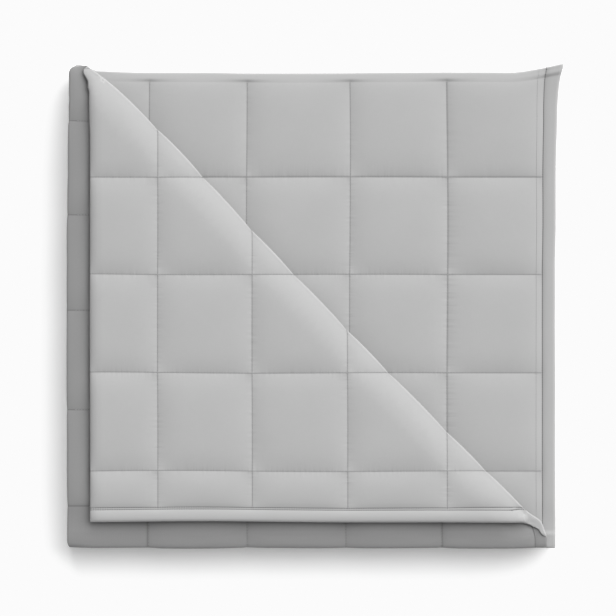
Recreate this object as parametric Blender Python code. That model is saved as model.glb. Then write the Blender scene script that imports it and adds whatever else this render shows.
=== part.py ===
"""A weighted blanket, folded to a flat square with one corner of its top layer turned back.

The quilt is folded in half along the left side, then in thirds along its length, so six layers lie on
one another. They are one closed solid: a section of the doubled cloth, carried along the path of the
thirds. The top layer's free corner is then turned back over the diagonal.
Metres, +Z up. The pack rests on z = 0, with the middle of its box over the origin.
"""

import math
from dataclasses import dataclass

import bmesh
import bpy
import numpy as np

# The pack, seen from above
LEFT = -0.3062  # the fold between the upper and the lower layer of each third
BOTTOM = -0.2993  # the fold between the top third and the middle third
TOP = 0.2980  # the fold between the middle third and the bottom third

# The quilt
LAYER_PITCH = 0.0095  # height that each layer takes in the pack
LAYER_GAP = 0.0005  # air between two layers
SEAM_THICKNESS = 0.003  # cloth and filling where they are sewn through
SHOULDER = 0.012  # distance from a seam to where a square is full
CROWN_HALF = (LAYER_PITCH - LAYER_GAP) / 2
SEAM_HALF = SEAM_THICKNESS / 2
HEM_FULLNESS = 0.45  # thickness of a hem, from a seam's at 0 to a full square's at 1
EDGE_FULLNESS = 0.25

# Free edge first, then the seams, across the upper and the lower layer of each third
UPPER_ACROSS = (0.2980, 0.2824, 0.2357, 0.1123, -0.0112, -0.1334, -0.2640)
LOWER_ACROSS = (0.3068, 0.2917, 0.1720, 0.0498, -0.0800, -0.2022)

# Free edge first, then the seams, down the two layers of the top third
UPPER_DOWN = (0.3226, 0.2375, 0.1191, -0.0006, -0.1254, -0.2463)
LOWER_DOWN = (0.2993, 0.2879, 0.1670, 0.0447, -0.0788, -0.2022)
MIDDLE_DOWN = (-0.2022, -0.0788, 0.0447, 0.1670)  # seams of the middle third, upwards
LAST_DOWN = (-0.2965, -0.2840, -0.2022, -0.0788, 0.0447, 0.1670)  # of the bottom third, upwards

# How far each third's left fold lies in, and its right hem out: bottom, middle, top
LEFT_IN = (0.0030, 0.0015, 0.0)
RIGHT_OUT = (-0.0035, -0.0010, 0.0)

# Folds
FOLD_ROUNDING = 0.0060  # radius of the corners of a pressed fold
SEAM_PINCH = 0.0020  # how far a seam draws the left fold in
SKEW_END = -0.2700  # right of this, the lower layer's seams lie in their own rows

# The corner that is turned back
CREST = (  # place along the diagonal, and x + y of the turned edge there
    (-0.412, 0.0280),
    (-0.315, 0.0370),
    (-0.135, 0.0290),
    (0.127, 0.0215),
    (0.301, 0.0205),
    (0.366, 0.0195),
    (0.392, 0.0250),
    (0.409, 0.0170),
)
ROLL_RADIUS = 0.0048  # of the middle of the cloth
ROLL_HALF = 0.0035  # half the thickness of a square, pressed by the bend
TURN_ACROSS = 0.0460  # a point (x, y) of the turned corner comes to lie at
TURN_UP = 0.0335  # (TURN_ACROSS - y, TURN_UP - x)
TURN_LENGTH = 0.1100  # length of cloth over which it reaches that place
TURN_ENDS = (-0.4105, 0.4050)  # near these ends of the diagonal it is folded straight over
END_LENGTHS = (0.0220, 0.0430)
SETTLE_LENGTH = 0.0380  # length over which the turned cloth comes to its full thickness
ROLL_CUTS = (-0.014, 0.0, 0.0038, 0.0075, 0.0113, 0.0151, 0.024, 0.034, 0.053, 0.080)  # bends, from the start of the roll
PRESS_LENGTH = 0.0140  # length over which it is pressed before the roll
DRAWN_EDGE_X = (-0.2810, -0.2460)  # left of the first, the upper layer's top edge is drawn down by
DRAWN_EDGE_DROP = 0.0146  # this, and right of the second not at all

# The hem's lifted corner, at the top right of the layer below
EAR_OUT = (0.0090, 0.0075, 0.0030)
EAR_REACH = (0.0200, 0.0230)

CLOTH_GREY = (0.30, 0.30, 0.30, 1.0)
HALF_TURN = 2 ** -0.5


@dataclass
class Row:
    """One place along the folded path: where the upper and the lower layer lie, and how full they are."""

    third: float  # 0 bottom, 1 middle, 2 top; between them in a fold
    upper_y: float = 0.0
    lower_y: float = 0.0
    upper_full: float = 1.0
    lower_full: float = 1.0
    bend: tuple = ()  # a point of the fold's rounded outline, in units of the distance from its middle


def ease(value):
    """A smooth step from 0 to 1."""
    value = np.clip(value, 0.0, 1.0)
    return value * value * (3 - 2 * value)


def stations(seams, end):
    """(place, fullness) from a free edge over its seams to where a fold starts."""
    edge, hem_seam = seams[:2]
    towards = math.copysign(1.0, end - edge)
    hem_full = HEM_FULLNESS if abs(hem_seam - edge) < 2 * SHOULDER else 1.0
    step = min(SHOULDER, abs(hem_seam - edge) / 3) * towards
    places = [(edge, EDGE_FULLNESS), (edge + step, hem_full), (hem_seam - step, hem_full)]
    for seam, following in zip(seams[1:], seams[2:] + (end,)):
        places += [(seam, 0.0), (seam + SHOULDER * towards, 1.0)]
        if following != end:
            places.append((following - SHOULDER * towards, 1.0))
    return places + [(end, 1.0)]


def fold_outline():
    """The rounded corners of a pressed fold, for a half height of 1, from its upper to its lower side."""
    rounding = FOLD_ROUNDING / (2 * LAYER_PITCH)
    corner = 1 - rounding * (1 - HALF_TURN)
    upper = [(1 - rounding, 1.0), (corner, corner), (1.0, 1 - rounding)]
    return upper + [(out, -up) for out, up in reversed(upper)]


def path_rows():
    """The rows from the top third's free edge, through both folds, to the bottom third's free edge."""
    fold_bottom = BOTTOM + 2 * LAYER_PITCH
    fold_top = TOP - 2 * LAYER_PITCH
    upper = stations(UPPER_DOWN, fold_bottom)
    lower = stations(LOWER_DOWN, fold_bottom)
    rows = [Row(2, a, b, full_a, full_b) for (a, full_a), (b, full_b) in zip(upper, lower)]
    outline = fold_outline()
    for number, bend in enumerate(outline):
        rows.append(Row(2 - (number + 1) / (len(outline) + 1), fold_bottom, fold_bottom, bend=bend))
    previous = fold_bottom
    for seam in MIDDLE_DOWN:
        rows += [Row(1, previous, previous), Row(1, seam, seam, 0.0, 0.0)]
        previous = seam + (MIDDLE_DOWN[1] - MIDDLE_DOWN[0]) / 2
    rows.append(Row(1, fold_top, fold_top))
    for number, bend in enumerate(outline):
        rows.append(Row(1 - (number + 1) / (len(outline) + 1), fold_top, fold_top, bend=bend))
    last = reversed(stations(LAST_DOWN, fold_top))
    return rows + [Row(0, place, place, full, full) for place, full in last]


def half_thickness(across_full, row_full):
    return SEAM_HALF + (CROWN_HALF - SEAM_HALF) * min(across_full, row_full)


def section(row):
    """The doubled cloth's closed section, as points (x, height, whether it is of the upper layer).

    The outside runs from the upper free edge over the left fold to the lower free edge, and the inside
    runs back from there.
    """
    upper_middle, lower_middle = 1.5 * LAYER_PITCH, 0.5 * LAYER_PITCH
    upper = stations(UPPER_ACROSS, LEFT + FOLD_ROUNDING)[:-1]
    lower = stations(LOWER_ACROSS, LEFT + FOLD_ROUNDING)[:-1] + [(SKEW_END, 1.0)]
    fold_half = half_thickness(1.0, row.upper_full)
    outer_x = LEFT + SEAM_PINCH * (1 - row.upper_full)
    reach = LAYER_PITCH / 2 + fold_half
    outside = [(x, upper_middle + half_thickness(full, row.upper_full), True) for x, full in upper]
    for out, up in fold_outline():
        outside.append((outer_x + (1 - out) * reach, LAYER_PITCH + up * reach, True))
    outside += [
        (x, lower_middle - half_thickness(full, row.lower_full), False) for x, full in reversed(lower)
    ]
    inside = [(x, lower_middle + half_thickness(full, row.lower_full), False) for x, full in lower]
    inner_x = outer_x + 2 * fold_half
    inside += [(inner_x, lower_middle + fold_half, True), (inner_x, upper_middle - fold_half, True)]
    inside += [
        (x, upper_middle - half_thickness(full, row.upper_full), True) for x, full in reversed(upper)
    ]
    return outside, inside


def laid(row, x, height, of_upper):
    """Where a point of the section comes to lie in the pack, before the corner is turned."""
    left_in = np.interp(row.third, (0, 1, 2), LEFT_IN)
    right_out = np.interp(row.third, (0, 1, 2), RIGHT_OUT)
    share = (x - LEFT) / (LOWER_ACROSS[0] - LEFT)
    lain_x = x + left_in * (1 - share) + right_out * share
    interface = 4 * LAYER_PITCH if row.third >= 1 else 2 * LAYER_PITCH
    from_interface = height if row.third >= 1 else 2 * LAYER_PITCH - height
    if row.bend:
        out, up = row.bend
        outwards = -1 if row.third > 1 else 1
        return lain_x, row.upper_y + outwards * out * from_interface, interface + up * from_interface
    skew = 1 - ease((x - LEFT - 2 * CROWN_HALF) / (SKEW_END - LEFT - 2 * CROWN_HALF))
    y = row.upper_y if of_upper else row.lower_y + (row.upper_y - row.lower_y) * skew
    if row.third == 2:
        if of_upper and y > UPPER_DOWN[1]:
            low, high = DRAWN_EDGE_X
            up_the_square = (y - UPPER_DOWN[1]) / (UPPER_DOWN[0] - UPPER_DOWN[1])
            y -= DRAWN_EDGE_DROP * up_the_square * (1 - ease((x - low) / (high - low)))
        return lain_x, y, interface + from_interface
    return lain_x, y, interface - from_interface


def lay_quilt(mesh):
    """The flat pack: sections along the path, joined into one skin, and closed at both free ends."""
    sections = []
    for row in path_rows():
        sections.append([[mesh.verts.new(laid(row, *point)) for point in side] for side in section(row)])
    for (outside, inside), (next_outside, next_inside) in zip(sections, sections[1:]):
        ring, next_ring = outside + inside, next_outside + next_inside
        for i in range(len(ring)):
            mesh.faces.new((ring[i - 1], ring[i], next_ring[i], next_ring[i - 1]))
    close_end(mesh, *sections[0])
    close_end(mesh, *sections[-1])


def close_end(mesh, outside, inside):
    """The edge of the cloth at a free end, between the outside and the inside of its section."""
    lower = len(stations(LOWER_ACROSS, LEFT + FOLD_ROUNDING))
    upper = len(stations(UPPER_ACROSS, LEFT + FOLD_ROUNDING)) - 1
    for i in range(upper - 1):
        mesh.faces.new((outside[i], outside[i + 1], inside[-i - 2], inside[-i - 1]))
    for i in range(lower - 1):
        mesh.faces.new((inside[i], inside[i + 1], outside[-i - 2], outside[-i - 1]))
    mesh.faces.new(outside[upper - 1 : 1 - lower] + inside[lower - 1 : 1 - upper])


def crest_at(along):
    """How far out the turned edge lies from the diagonal through the middle, along the diagonal."""
    places, sums = zip(*CREST)
    return np.interp(along, places, sums) * HALF_TURN


def turn_point(x, y, height):
    """Carries a point of the flat top layer over the roll. Height is from the middle of the layer."""
    along, out = (x - y) * HALF_TURN, (x + y) * HALF_TURN
    crest = crest_at(along)
    start = -(ROLL_RADIUS + ROLL_HALF)
    past = out - crest - start
    low_end, high_end = TURN_ENDS
    inside = ease((along - low_end) / END_LENGTHS[0]) * ease((high_end - along) / END_LENGTHS[1])
    reached = float(ease(past / TURN_LENGTH) * inside)
    half_circle = math.pi * ROLL_RADIUS
    mirror = (TURN_ACROSS + TURN_UP) / 2 * HALF_TURN
    spare = 2 * (mirror - crest) - 2 * start - half_circle
    travelled = past - spare * reached
    pressed = float(ease(past / PRESS_LENGTH + 1) * (1 - ease((travelled - half_circle) / SETTLE_LENGTH)))
    height *= 1 + (ROLL_HALF / CROWN_HALF - 1) * pressed
    if past <= 0:
        return x, y, height
    if travelled < half_circle:
        angle = travelled / ROLL_RADIUS
        place, level = start + ROLL_RADIUS * math.sin(angle), ROLL_RADIUS * (1 - math.cos(angle))
        normal = (-math.sin(angle), math.cos(angle))
    else:
        gone = travelled - half_circle
        place, level = start - gone, 2 * ROLL_RADIUS
        normal = (0.0, -1.0)
    out = crest + place + height * normal[0]
    along += (TURN_ACROSS - TURN_UP) * HALF_TURN * reached
    return (along + out) * HALF_TURN, (out - along) * HALF_TURN, level + height * normal[1]


def turn_corner(mesh):
    """Cuts bends into the top layer along the diagonal, then turns its free corner back."""
    floor_of_top = 5 * LAYER_PITCH
    fold_bottom = BOTTOM + 2 * LAYER_PITCH
    (first_along, first_sum), (last_along, last_sum) = CREST[1], CREST[-2]
    lean = (last_sum - first_sum) * HALF_TURN / (last_along - first_along)
    middle = first_sum * HALF_TURN - lean * first_along
    for cut in ROLL_CUTS:
        out = middle - ROLL_RADIUS - ROLL_HALF + cut
        middles = [(face, face.calc_center_median()) for face in mesh.faces]
        top_faces = [face for face, at in middles if at.z > floor_of_top and at.y > fold_bottom]
        edges = {edge for face in top_faces for edge in face.edges}
        points = {point for face in top_faces for point in face.verts}
        bmesh.ops.bisect_plane(
            mesh,
            geom=top_faces + list(edges) + list(points),
            dist=1e-5,
            plane_co=(out * HALF_TURN, out * HALF_TURN, 0.0),
            plane_no=((1 - lean) * HALF_TURN, (1 + lean) * HALF_TURN, 0.0),
        )
    middle_of_top = 5.5 * LAYER_PITCH
    for point in mesh.verts:
        if point.co.z > floor_of_top and point.co.y > fold_bottom:
            x, y, height = turn_point(point.co.x, point.co.y, point.co.z - middle_of_top)
            point.co = (x, y, middle_of_top + height)


def lift_ear(mesh):
    """Draws the lower layer's top right corner out and up."""
    for point in mesh.verts:
        if 4 * LAYER_PITCH < point.co.z < 5 * LAYER_PITCH:
            from_right = max(LOWER_ACROSS[0] - point.co.x, 0.0) / EAR_REACH[0]
            from_top = max(LOWER_DOWN[0] - point.co.y, 0.0) / EAR_REACH[1]
            share = math.exp(-from_right - from_top)
            for axis, out in enumerate(EAR_OUT):
                point.co[axis] += out * share


def stand_on_origin(mesh):
    """Moves the pack so that its box stands on z = 0 with its middle over the origin."""
    places = np.array([point.co for point in mesh.verts])
    low, high = places.min(axis=0), places.max(axis=0)
    shift = ((low[0] + high[0]) / 2, (low[1] + high[1]) / 2, low[2])
    bmesh.ops.translate(mesh, vec=[-value for value in shift], verts=mesh.verts)


def cloth_material():
    material = bpy.data.materials.new("quilt_cloth")
    material.use_nodes = True
    shader = material.node_tree.nodes["Principled BSDF"]
    shader.inputs["Base Color"].default_value = CLOTH_GREY
    shader.inputs["Roughness"].default_value = 0.9
    shader.inputs["Metallic"].default_value = 0.0
    return material


def make_blanket():
    mesh = bmesh.new()
    lay_quilt(mesh)
    turn_corner(mesh)
    lift_ear(mesh)
    bmesh.ops.triangulate(mesh, faces=mesh.faces)
    bmesh.ops.recalc_face_normals(mesh, faces=mesh.faces)
    stand_on_origin(mesh)
    data = bpy.data.meshes.new("blanket")
    mesh.to_mesh(data)
    mesh.free()
    data.shade_smooth()
    data.set_sharp_from_angle(angle=math.radians(50))
    data.materials.append(cloth_material())
    blanket = bpy.data.objects.new("blanket", data)
    bpy.context.collection.objects.link(blanket)


def main():
    for thing in list(bpy.data.objects):
        bpy.data.objects.remove(thing)
    make_blanket()


main()
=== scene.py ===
"""Looks of a weighted blanket, folded to a flat square with one corner of its top layer turned back.

The quilt is one padded sheet, darker outside and lighter inside. It is folded in half along the left
side and then in thirds, and the free corner of the top layer is turned back over the diagonal. The
sheet is laid out as two panels, an outer and an inner one, which meet at the hems; each point of them
is carried through the folds, and the sewing thread is laid along the same seams.
Metres, +Z up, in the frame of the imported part.
"""

import logging
import math
from collections.abc import Iterator
from contextlib import contextmanager
from dataclasses import dataclass, field, fields
from enum import Enum

import bmesh
import bpy
import numpy as np
from bpy.types import Material, Mesh, Node, NodeSocket, Object, ShaderNodeTree
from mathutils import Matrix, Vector


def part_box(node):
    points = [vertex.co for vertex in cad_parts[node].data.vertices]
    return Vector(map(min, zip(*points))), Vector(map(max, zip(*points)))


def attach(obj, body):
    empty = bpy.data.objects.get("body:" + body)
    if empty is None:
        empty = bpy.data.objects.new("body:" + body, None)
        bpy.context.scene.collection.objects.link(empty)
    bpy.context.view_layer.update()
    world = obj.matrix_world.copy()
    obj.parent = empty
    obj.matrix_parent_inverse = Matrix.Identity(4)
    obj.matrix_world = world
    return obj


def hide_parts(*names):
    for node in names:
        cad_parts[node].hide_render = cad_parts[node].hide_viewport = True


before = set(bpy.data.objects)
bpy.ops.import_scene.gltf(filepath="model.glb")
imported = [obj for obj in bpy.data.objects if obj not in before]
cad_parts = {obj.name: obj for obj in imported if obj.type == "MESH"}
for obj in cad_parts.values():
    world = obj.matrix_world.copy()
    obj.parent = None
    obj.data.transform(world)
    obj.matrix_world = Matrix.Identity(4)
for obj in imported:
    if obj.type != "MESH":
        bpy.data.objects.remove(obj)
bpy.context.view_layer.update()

log = logging.getLogger("blanket")
HALF_TURN = 2**-0.5
Array = np.ndarray
Floats = tuple[float, ...]
Table = tuple[tuple[float, float], ...]


class Face(Enum):
    """The two faces of the quilt; the value is the side of the cloth's middle on which each lies."""

    OUTER = 1.0
    INNER = -1.0


class Layer(Enum):
    """The part of a folded section that a column of points belongs to."""

    UPPER = 1
    FOLD = 0
    LOWER = -1


def ease(value: Array | float) -> Array | float:
    """A smooth step from 0 to 1."""
    value = np.clip(value, 0.0, 1.0)
    return value * value * (3 - 2 * value)


def read(table: Table, at: Array) -> Array:
    """The values of a table, straight between its rows."""
    return np.interp(at, *zip(*table))


def diagonal(x: Array, y: Array) -> tuple[Array, Array]:
    """Places along the diagonal and out from it; from these, given as out and along, it gives y and x."""
    return (x - y) * HALF_TURN, (x + y) * HALF_TURN


def select_only(*things: Object) -> None:
    """Deselects everything, then selects the given objects and makes the first one active."""
    bpy.ops.object.select_all(action="DESELECT")
    for thing in things:
        thing.select_set(True)
    bpy.context.view_layer.objects.active = things[0]


@contextmanager
def whole_mesh() -> Iterator[None]:
    """Keeps the active object in edit mode with all of its mesh selected.

    Yields:
        Nothing; it is back in object mode afterwards.
    """
    bpy.ops.object.mode_set(mode="EDIT")
    bpy.ops.mesh.select_all(action="SELECT")
    yield
    bpy.ops.object.mode_set(mode="OBJECT")


class Nodes:
    """Adds and links shader nodes in one tree."""

    def __init__(self, tree: ShaderNodeTree) -> None:
        """Keeps the tree that nodes are added to."""
        self.tree = tree

    def give(self, target: NodeSocket, value: object) -> None:
        """Links an output to an input, or sets the input to a value.

        Args:
            target: the input.
            value: the output or the value.
        """
        if isinstance(value, NodeSocket):
            self.tree.links.new(value, target)
        else:
            target.default_value = value

    def feed(self, node: Node, **inputs: object) -> None:
        """Gives a node's inputs, named with _ for a space, values or outputs to link."""
        for name, value in inputs.items():
            self.give(node.inputs[name.replace("_", " ")], value)

    def add(self, kind: str, settings: dict[str, object] | None = None, **inputs: object) -> Node:
        """Adds a node.

        Args:
            kind: the end of its type's name, such as "Math".
            settings: its properties and their values.
            inputs: its inputs, as for feed.

        Returns:
            The new node.
        """
        node = self.tree.nodes.new("ShaderNode" + kind)
        for name, value in (settings or {}).items():
            setattr(node, name, value)
        self.feed(node, **inputs)
        return node

    def math(self, operation: str, *values: object) -> NodeSocket:
        """Adds a Math node.

        Args:
            operation: the node's operation.
            values: its inputs in order, each a number or an output to link.

        Returns:
            The node's output.
        """
        node = self.add("Math", {"operation": operation})
        for target, value in zip(node.inputs, values):
            self.give(target, value)
        return node.outputs[0]

    def between(self, low: float, high: float, value: NodeSocket) -> NodeSocket:
        """Maps 0..1 to low..high."""
        return self.add("MapRange", To_Min=low, To_Max=high, Value=value).outputs["Result"]

    def around(self, middle: float, spread: float, value: NodeSocket) -> NodeSocket:
        """Maps 0..1 to a spread to both sides of a middle."""
        return self.between(middle - spread, middle + spread, value)

    def noise(self, place: NodeSocket, rates: Floats, detail: float) -> NodeSocket:
        """Adds a noise read at a place, with a rate for each axis and a number of finer layers."""
        mapped = self.add("Mapping", Scale=rates, Vector=place).outputs[0]
        return self.add("TexNoise", Scale=1.0, Detail=detail, Vector=mapped).outputs["Fac"]

    def group(self, tree: ShaderNodeTree, **inputs: object) -> bpy.types.bpy_prop_collection:
        """Adds a shared shader group, and gives its outputs."""
        return self.add("Group", {"node_tree": tree}, **inputs).outputs

    def grey(self, value: NodeSocket) -> NodeSocket:
        """Makes a grey colour from a value."""
        return self.add("CombineColor", Red=value, Green=value, Blue=value).outputs[0]

    def bump(self, height: NodeSocket, distance: float, strength: float) -> NodeSocket:
        """Makes a normal from a height."""
        return self.add("Bump", Strength=strength, Distance=distance, Height=height).outputs[0]


def start_material(name: str, **inputs: object) -> tuple[Material, Nodes, Node]:
    """Makes a material with a plain shader.

    Args:
        name: the material's name.
        inputs: constant values of the shader's inputs, as for Nodes.feed.

    Returns:
        The material, its nodes helper and its shader.
    """
    made = bpy.data.materials.new(name)
    made.use_nodes = True
    nodes = Nodes(made.node_tree)
    shader = made.node_tree.nodes["Principled BSDF"]
    nodes.feed(shader, **inputs)
    return made, nodes, shader


def make_group(name: str, inputs: dict[str, float | None], outputs: list[str]) -> tuple[Nodes, Node, Node]:
    """Makes an empty shader group with named sockets.

    Args:
        name: the group's name.
        inputs: its inputs, each with its usual value, or None where it is a place.
        outputs: its outputs, all single values.

    Returns:
        The group's nodes helper, its input node and its output node.
    """
    tree = bpy.data.node_groups.new(name, "ShaderNodeTree")
    for label, value in inputs.items():
        kind = "NodeSocketVector" if value is None else "NodeSocketFloat"
        made = tree.interface.new_socket(name=label, in_out="INPUT", socket_type=kind)
        if value is not None:
            made.default_value = value
    for label in outputs:
        tree.interface.new_socket(name=label, in_out="OUTPUT", socket_type="NodeSocketFloat")
    return Nodes(tree), tree.nodes.new("NodeGroupInput"), tree.nodes.new("NodeGroupOutput")


def weave_group() -> ShaderNodeTree:
    """Builds the plain weave: threads that pass over and under one another.

    Returns:
        A group with the cloth's flat place in metres and the thread pitch as inputs, and the height of
        the weave and its uneven thread thickness as outputs.
    """
    nodes, given, result = make_group("plain_weave", {"Place": None, "Pitch": 0.0008}, ["Height", "Slub"])
    place = given.outputs["Place"]
    split = nodes.add("SeparateXYZ", Vector=place)
    turns = nodes.math("DIVIDE", math.pi, given.outputs["Pitch"])
    waves = [nodes.math("SINE", nodes.math("MULTIPLY", split.outputs[axis], turns)) for axis in "XY"]
    slubs = [nodes.noise(place, rates, 1.0) for rates in ((2200.0, 90.0, 1.0), (90.0, 2200.0, 1.0))]
    height = nodes.math("MULTIPLY_ADD", nodes.math("MULTIPLY", *waves), 0.5, 0.5)
    nodes.feed(result, Height=height, Slub=nodes.math("MULTIPLY", nodes.math("ADD", *slubs), 0.5))
    return nodes.tree


def seam_group() -> ShaderNodeTree:
    """Builds the marks of the sewing: a darker line along each seam, partly pressed cloth and partly painted shade
    of its groove, and small puckers beside it.

    Returns:
        A group that takes the place counted in squares, whole numbers on the seams, and a pucker
        width in squares, and gives the darker seam line, partly painted shade, and the height of the puckers.
    """
    nodes, given, result = make_group("painted_seam_shade_and_puckers", {"Squares": None, "Reach": 0.11}, ["Line", "Pucker"])
    squares = given.outputs["Squares"]
    split = nodes.add("SeparateXYZ", Vector=squares)
    # width and softness of the darker seam line, which paints the shade of the groove as well as pressing the
    # cloth
    line_width, softness = 0.009, 0.3  # the first in squares
    lines, puckers = [], []
    for axis, rates in (("X", (3.0, 19.0, 1.0)), ("Y", (19.0, 3.0, 1.0))):
        away = nodes.math("PINGPONG", split.outputs[axis], 0.5)
        bare = nodes.math("SMOOTH_MIN", nodes.math("DIVIDE", away, line_width), 1.0, softness)
        lines.append(nodes.math("SUBTRACT", 1.0, bare))
        share = nodes.math("MINIMUM", nodes.math("DIVIDE", away, given.outputs["Reach"]), 1.0)
        fade = nodes.math("SUBTRACT", 1.0, share)
        fade = nodes.math("MULTIPLY", fade, fade)
        puckers.append(nodes.math("MULTIPLY", fade, nodes.noise(squares, rates, 2.0)))
    line = nodes.math("MAXIMUM", nodes.math("MAXIMUM", *lines), 0.0)
    nodes.feed(result, Line=line, Pucker=nodes.math("ADD", *puckers))
    return nodes.tree


def mottle_group() -> ShaderNodeTree:
    """Builds the soft unevenness of dyed and handled cloth.

    Returns:
        A group with a place and a scale as inputs and a shade from 0 to 1 as output.
    """
    nodes, given, result = make_group("cloth_mottle", {"Place": None, "Scale": 20.0}, ["Shade"])
    place, scale = given.outputs["Place"], given.outputs["Scale"]
    noise = nodes.add("TexNoise", Detail=3.0, Roughness=0.55, Vector=place, Scale=scale)
    nodes.feed(result, Shade=noise.outputs["Fac"])
    return nodes.tree


@dataclass(frozen=True)
class SharedEffects:
    """The shader groups that the cloths and the thread share."""

    weave: ShaderNodeTree
    seams: ShaderNodeTree
    mottle: ShaderNodeTree

    @classmethod
    def build(cls) -> "SharedEffects":
        """Builds each group once."""
        return cls(weave_group(), seam_group(), mottle_group())


@dataclass(frozen=True)
class ClothFinish:
    """A fine, matte, plainly woven cloth, seen from one side."""

    name: str
    grey: float  # share of light that the cloth gives back
    spread: float  # how much its shade varies, as a share
    pitch: float = 0.0009  # of its threads
    seam_painted_shade: float = 0.62  # shade of the line along the seams: pressed cloth, darkened further as painted shade of the seam groove
    slub_spread: float = 0.045  # and how its shade varies with its threads' thickness
    thread_spread: float = 0.03  # and their height
    mottle_scale: float = 14.0
    roughness: float = 0.86
    roughness_spread: float = 0.06
    weave_height: float = 0.00006
    pucker_height: float = 0.0009
    sheen: float = 0.15

    def material(self, effects: SharedEffects) -> Material:
        """Builds the cloth's material.

        Args:
            effects: the shared shader groups.

        Returns:
            The new material.
        """
        made, nodes, shader = start_material(
            self.name, Sheen_Weight=self.sheen, Sheen_Roughness=0.6, Specular_IOR_Level=0.25
        )
        place, squares = (nodes.add("UVMap", {"uv_map": name}).outputs[0] for name in ("Cloth", "Squares"))
        weave = nodes.group(effects.weave, Pitch=self.pitch, Place=place)
        seams = nodes.group(effects.seams, Squares=squares)
        mottle = nodes.group(effects.mottle, Scale=self.mottle_scale, Place=place)["Shade"]
        soft = nodes.around(1.0, self.spread, mottle)
        slub = nodes.around(1.0, self.slub_spread, weave["Slub"])
        thread = nodes.around(1.0, self.thread_spread, weave["Height"])
        # the darker seam line: pressed cloth, plus painted shade of the seam groove
        pressed = nodes.between(1.0, self.seam_painted_shade, seams["Line"])
        shade = nodes.math("MULTIPLY", nodes.math("MULTIPLY", soft, slub), nodes.math("MULTIPLY", thread, pressed))
        threads = nodes.math("MULTIPLY", weave["Height"], self.weave_height)
        height = nodes.math("ADD", threads, nodes.math("MULTIPLY", seams["Pucker"], self.pucker_height))
        nodes.feed(
            shader,
            Base_Color=nodes.grey(nodes.math("MULTIPLY", shade, self.grey)),
            Roughness=nodes.around(self.roughness, self.roughness_spread, mottle),
            Normal=nodes.bump(height, 1.0, 1.0),
        )
        return made


@dataclass(frozen=True)
class ThreadFinish:
    """Twisted sewing thread."""

    name: str
    grey: float
    spread: float = 0.12  # how much its shade varies, as a share
    mottle_scale: float = 260.0
    roughness: tuple[float, float] = (0.55, 0.75)
    twist_rate: float = 900.0
    twist_depth: float = 0.00005

    def material(self, effects: SharedEffects) -> Material:
        """Builds the thread's material, with its twist as a fine bump.

        Args:
            effects: the shared shader groups.

        Returns:
            The new material.
        """
        made, nodes, shader = start_material(self.name, Sheen_Weight=0.1, Specular_IOR_Level=0.4)
        place = nodes.add("TexCoord").outputs["Object"]
        mottle = nodes.group(effects.mottle, Scale=self.mottle_scale, Place=place)["Shade"]
        bands = {"wave_type": "BANDS", "bands_direction": "DIAGONAL"}
        twist = nodes.add("TexWave", bands, Scale=self.twist_rate, Vector=place).outputs["Fac"]
        nodes.feed(
            shader,
            Base_Color=nodes.grey(nodes.math("MULTIPLY", nodes.around(1.0, self.spread, mottle), self.grey)),
            Roughness=nodes.between(*self.roughness, mottle),
            Normal=nodes.bump(twist, self.twist_depth, 0.5),
        )
        return made


@dataclass(frozen=True)
class Relief:
    """How the quilt rises from its seams."""

    seam_half: float = 0.0013  # half the thickness on a seam
    crown_half: float = 0.0045  # and in the middle of a square
    shoulder: float = 0.0110  # length over which a square rises steeply
    steep_share: float = 0.80  # share of its height gained there
    dome_reach: float = 0.0610  # from a seam to the middle of a square
    hem_share: float = 0.50  # fullness of a hem
    hem_start: float = 0.30  # share of it beside the stitches
    hem_length: float = 0.0045  # over which it rises from there
    stitch_sink: float = 0.45  # how far the stitches sink in
    stitch_reach: float = 0.0006  # to each side of a line of them
    twin: float = 0.00125  # half the distance between the hem's two lines of stitches
    hem_steps: Floats = (0.0005, 0.0009, 0.00125, 0.0016, 0.0020, 0.0026)  # beside the middle
    step_apart: float = 0.0015  # from the last of these to the next step
    edge_round: float = 0.0016  # length over which a hem's edge is rounded
    soft_edge_round: float = 0.0110  # and an edge that is rolled under, without a hem
    sink: float = 0.0017  # how far seams lie below the middle of their layer
    square: float = 0.122  # the side of a whole square
    widest_hem: float = 0.03

    def rise(self, away: Array) -> Array:
        """The rise of the cloth beside one seam.

        Args:
            away: distances from the seam.

        Returns:
            The shares of a full square's height.
        """
        steep = 1 - np.exp(-away / self.shoulder)
        dome = np.sin(np.clip(away / self.dome_reach, 0, 1) * math.pi / 2)
        return self.steep_share * steep + (1 - self.steep_share) * dome

    def hem_rise(self, away: Array, stitched: bool, outside: bool) -> Array:
        """The height of a hem beside its stitches.

        Args:
            away: distances from the middle of the hem's lines of stitches.
            stitched: whether a line of stitches sinks in on this side of the middle.
            outside: whether this is the side of the free edge.

        Returns:
            The shares of a full square's height.
        """
        height = self.hem_share * np.ones(len(away))
        if outside:
            past = np.maximum(away - self.twin, 0)
            height *= 1 - (1 - self.hem_start) * np.exp(-past / self.hem_length)
        if stitched:
            height *= 1 - self.stitch_sink * np.exp(-(((away - self.twin) / self.stitch_reach) ** 2))
        return height

    def beside_stitches(self, share: Array, length: float, first: bool) -> Array:
        """Puts steps close together beside a hem's stitches.

        Args:
            share: the steps over a piece of cloth, as shares of its length.
            length: the length of the piece.
            first: whether it is the hem itself, with its stitches at its far end.

        Returns:
            The new steps.
        """
        close = np.array(self.hem_steps) / length
        away = 1 - share if first else share
        kept = share[away > close[-1] + self.step_apart / length]
        return np.sort(np.concatenate((kept, 1 - close if first else close, [1.0 if first else 0.0])))

    def edge(self, away: Array, hemmed: bool) -> Array:
        """The rounding of a free edge, 0 on it and 1 from a short way in."""
        reach = self.edge_round if hemmed else self.soft_edge_round
        return np.sqrt(1 - (1 - np.clip(away / reach, 0, 1)) ** 2)

    def fullness(self, half: Array) -> Array:
        """The share of a full square's height at a half thickness."""
        return np.clip((half - self.seam_half) / (self.crown_half - self.seam_half), 0, 1)


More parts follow.
